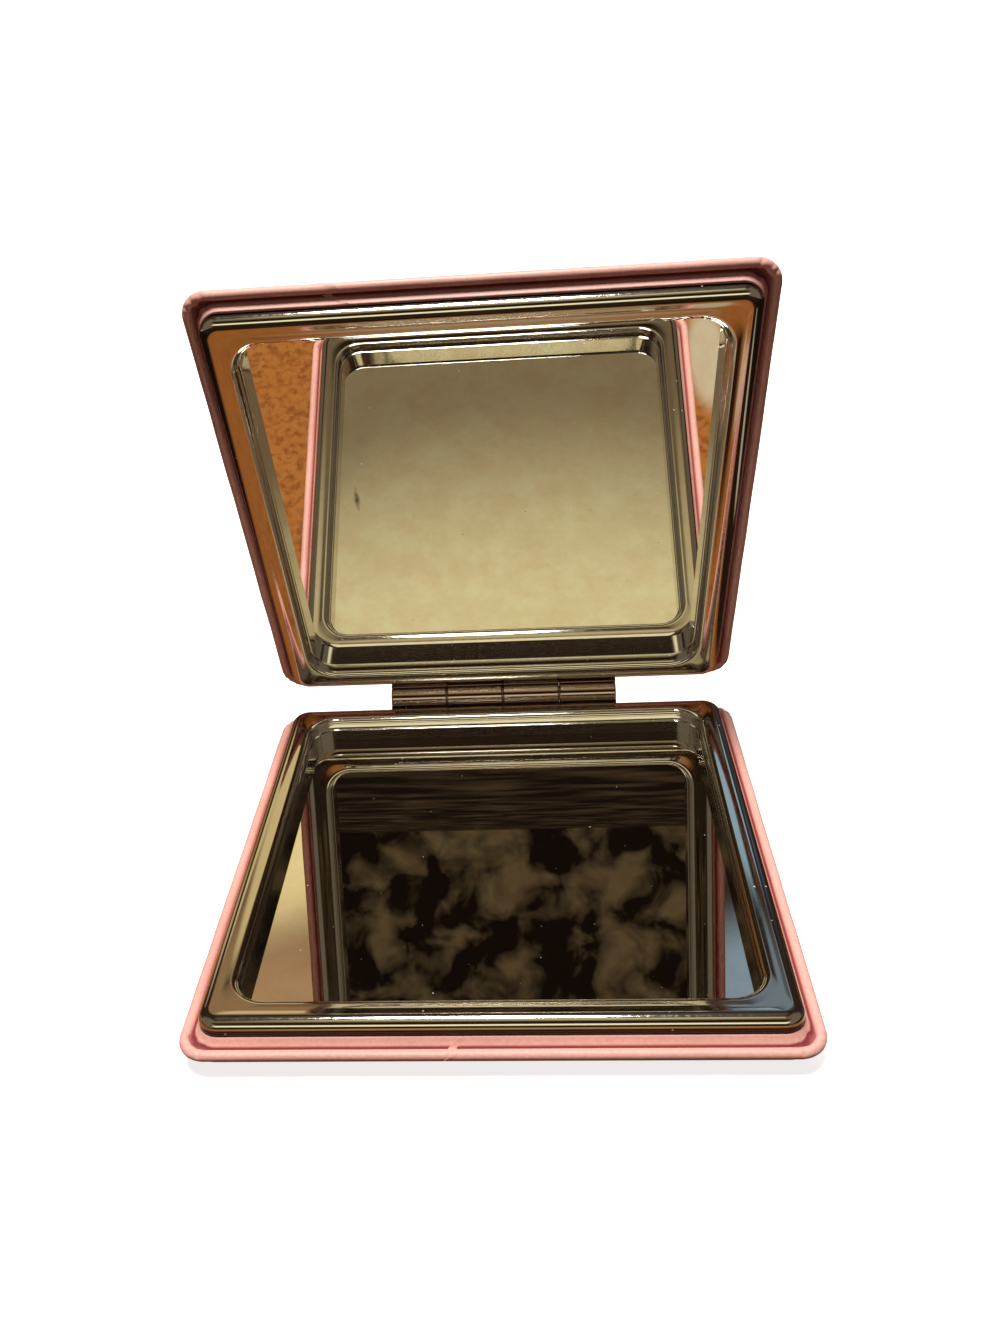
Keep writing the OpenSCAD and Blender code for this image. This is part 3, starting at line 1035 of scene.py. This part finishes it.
# Cards of the tent: azimuth, elevation, half width, half height, edge, colour, gain, and the size
# of its mottling
TENT = (
    (0, 90, 0.34, 1.0, 0.4, "#5E544A", 1, 0),
    (120, 20, 0.6, 0.75, 0.2, "#7E7363", 1, 0),
    (-120, 20, 0.6, 0.75, 0.2, "#7E7363", 1, 0),
    (180, 61, 0.28, 0.085, 0.3, "#F3E4AE", 1, 0),
    (180, 50, 0.7, 0.088, 0.7, "#8F7E60", 1, 0),
    (180, 40, 0.6, 0.11, 0.25, "#2E2218", 1, 0),
    (180, 19, 0.55, 0.115, 0.15, "#FFF6CC", 1.5, 0),
    (180, 2, 0.5, 0.17, 0.3, "#160F0A", 1, 0),
    (180, 2, 0.5, 0.17, 0.3, "#5E4E36", 1, 0.035),
    (120, 52, 0.35, 0.08, 0.5, "#8A6A4A", 1, 0),
    (0, 0, 0.36, 0.6, 0.4, "#120C0A", 1, 0),
    (-40, -2, 0.12, 0.42, 0.35, "#A8845A", 1, 0),
    (-44, 16, 0.05, 0.32, 0.5, "#D8C2A0", 1, 0),
    (-20, 33, 0.17, 0.13, 0.22, "#F2DA9C", 1, 0),
    (-20, 47, 0.14, 0.1, 0.5, "#AE8A62", 1, 0),
    (-12, 10, 0.16, 0.26, 0.3, "#4E3C40", 1, 0),
    (-81, -1, 0.2, 0.1, 0.4, "#D1B19A", 1, 0),
    (33, 14, 0.14, 0.4, 0.3, "#3E4146", 1, 0),
    (36, 20, 0.03, 0.3, 0.6, "#56708A", 1, 0),
    (14, 50, 0.3, 0.1, 0.3, "#57554F", 1, 0),
    (16, 33, 0.085, 0.115, 0.3, "#A9CBDC", 1, 0),
    (16, 45, 0.08, 0.06, 0.5, "#8698A6", 1, 0),
)
TENT_GROUND = "#382B21"
# Brown paper round the base, and strips on it: x, y, half width, half height, edge, colour, and
# the size of its mottling, with lengths in mm
PAPER = (
    (0, -800, 1500, 690, 0.1, "#463828", 50),
    (0, 0, 84, 84, 0.25, "#BC763A", 0),
    (0, 0, 84, 84, 0.25, "#98592A", 1.4),
    (0, 76, 90, 38, 0.3, "#3A2014", 0),
    (79, 10, 37, 80, 0.12, "#2C1C16", 0),
    (87, 6, 9, 40, 0.3, "#C8BBA0", 0),
    (0, -54, 40, 9, 0.4, "#B8A684", 0),
    (38.5, -27, 3.5, 11, 0.3, "#D8C4A0", 0),
)
PAPER_GROUND = "#1C140E"
# Half the width of the hole in the paper, in which the base stands
PAPER_HOLE = 33 * MM
LAMP_TINT = "#FFF9F1"


def studio_world(scene):
    """A white backdrop that lights the object only dimly."""
    world = bpy.data.worlds.new("studio")
    scene.world = world
    world.use_nodes = True
    tree = world.node_tree
    tree.nodes.clear()
    level = add_node(
        tree, "ShaderNodeMapRange", {"Value": background_rays(tree)},
        {"To Min": 0.06, "To Max": 1.0},
    )
    sky = add_node(
        tree, "ShaderNodeBackground", {"Strength": level.outputs["Result"]},
        {"Color": (1, 1, 1, 1)},
    )
    end = add_node(tree, "ShaderNodeOutputWorld")
    tree.links.new(sky.outputs[0], end.inputs["Surface"])


def floor_paper(colours):
    """Matt paper, pale where it is looked at and brown in the light that bounces off it."""
    material, tree, output = new_material("pale_paper_floor")
    seen = background_rays(tree)
    sheet = add_node(
        tree, "ShaderNodeMix", {"Factor": seen},
        {"A": rgba(colours.bounce), "B": rgba(colours.floor)},
        data_type="RGBA",
    )
    paper = add_node(tree, "ShaderNodeBsdfDiffuse", {"Color": sheet.outputs["Result"]})
    # Away from the object, where the lamps no longer light it, it turns as white as the backdrop
    place = add_node(tree, "ShaderNodeTexCoord").outputs["Object"]
    away = add_node(tree, "ShaderNodeVectorMath", {0: place}, operation="LENGTH")
    glow = add_node(
        tree, "ShaderNodeMapRange", {"Value": away.outputs["Value"]},
        {"From Min": 0.12, "From Max": 0.5, "To Min": 0.8, "To Max": 1.0},
    )
    glow_share = add_node(
        tree, "ShaderNodeMath", {0: seen, 1: glow.outputs["Result"]}, operation="MULTIPLY"
    )
    light = add_node(
        tree, "ShaderNodeEmission", {"Strength": glow_share.outputs[0]}, {"Color": (1, 1, 1, 1)}
    )
    both = add_node(tree, "ShaderNodeAddShader", {0: paper.outputs[0], 1: light.outputs[0]})
    tree.links.new(both.outputs[0], output.inputs["Surface"])
    return material


class COMPACT_OT_stage(bpy.types.Operator):
    """Lay the pale floor, light it softly and set the camera"""

    bl_idname = "compact.stage"
    bl_label = "Stage"

    def execute(self, context):
        scene = context.scene
        scene.view_settings.view_transform = "Standard"
        studio_world(scene)
        bm = bmesh.new()
        bmesh.ops.create_grid(bm, x_segments=1, y_segments=1, size=20)
        add_backdrop(bm, "floor", floor_paper(scene.compact_mirror.finish))

        # A dim tent round the object, with plain cards in it for the metal and mirrors to reflect
        bm = bmesh.new()
        bmesh.ops.create_uvsphere(bm, u_segments=64, v_segments=32, radius=1.5)
        cards = [
            (heading(a, e), (w, w, h), edge, [c * gain for c in linear(shade)], spot)
            for a, e, w, h, edge, shade, gain, spot in TENT
        ]
        glow = patched_glow("tent_cards", TENT_GROUND, cards, as_directions=True)
        add_card(bm, "studio_tent", glow)
        # Brown paper on the floor, with a hole in its middle for the base
        bm = bmesh.new()
        bmesh.ops.create_grid(bm, x_segments=3, y_segments=3, size=1.6)
        for v in bm.verts:
            if max(abs(v.co.x), abs(v.co.y)) < 1:
                v.co.x = math.copysign(PAPER_HOLE, v.co.x)
                v.co.y = math.copysign(PAPER_HOLE, v.co.y)
            v.co.z = 0.3 * MM
        bmesh.ops.delete(
            bm, geom=[f for f in bm.faces if f.calc_center_median().length < 0.1], context="FACES"
        )
        sheets = [
            ((x * MM, y * MM, 0), (w * MM, h * MM, 1), edge, linear(shade), spot * MM)
            for x, y, w, h, edge, shade, spot in PAPER
        ]
        glow = patched_glow("brown_paper", PAPER_GROUND, sheets, as_directions=False)
        add_card(bm, "brown_paper", glow)
        # From above, a little to the left and in front
        add_lamp("key", (-0.04, -0.07, 0.6), (0, 0, 0.02), 0.16, 4.8, LAMP_TINT)
        # Lights the cover of the upright lid, and the top of its rim, from behind
        back = add_lamp("back", (0.05, 0.55, 0.22), (0, 0.03, 0.03), 0.3, 2.6, LAMP_TINT)
        back.visible_glossy = back.visible_camera = False

        # Fitted to the outlines of both halves
        data = bpy.data.cameras.new("camera")
        data.lens = 31.184
        data.sensor_width = 36
        data.shift_x = 0.0413
        data.shift_y = -0.00165
        data.clip_start = 0.001
        camera = bpy.data.objects.new("camera", data)
        camera.location = (0.006376, -0.121566, 0.098604)
        camera.rotation_euler = Euler([math.radians(a) for a in (61.154, 3.995, 3.33)])
        scene.collection.objects.link(camera)
        scene.camera = camera
        return {"FINISHED"}


class COMPACT_PT_panel(bpy.types.Panel):
    """Sizes, colours and the steps that make the mirror"""

    bl_idname = "COMPACT_PT_panel"
    bl_label = "Compact mirror"
    bl_space_type = "VIEW_3D"
    bl_region_type = "UI"
    bl_category = "Compact mirror"

    def draw(self, context):
        settings = context.scene.compact_mirror
        for part in ("frame", "rim", "cover", "hinge", "finish"):
            box = self.layout.box()
            box.label(text=part.capitalize())
            group = getattr(settings, part)
            for key in group.__annotations__:
                box.prop(group, key)
        for step in STEPS:
            self.layout.operator(step.bl_idname)


STEPS = (
    COMPACT_OT_stage,
    COMPACT_OT_frames,
    COMPACT_OT_rims,
    COMPACT_OT_laps,
    COMPACT_OT_covers,
    COMPACT_OT_hinge,
    COMPACT_OT_carried,
)
GROUPS = (FrameSizes, RimSizes, CoverSizes, HingeSizes, FinishColours, CompactSettings)
CLASSES = GROUPS + STEPS + (COMPACT_PT_panel,)


def register():
    for cls in CLASSES:
        bpy.utils.register_class(cls)
    bpy.types.Scene.compact_mirror = PointerProperty(type=CompactSettings)


def unregister():
    del bpy.types.Scene.compact_mirror
    for cls in reversed(CLASSES):
        bpy.utils.unregister_class(cls)


def main():
    register()
    for step in STEPS:
        area, operator = step.bl_idname.split(".")
        getattr(getattr(bpy.ops, area), operator)()


if __name__ == "__main__":
    main()
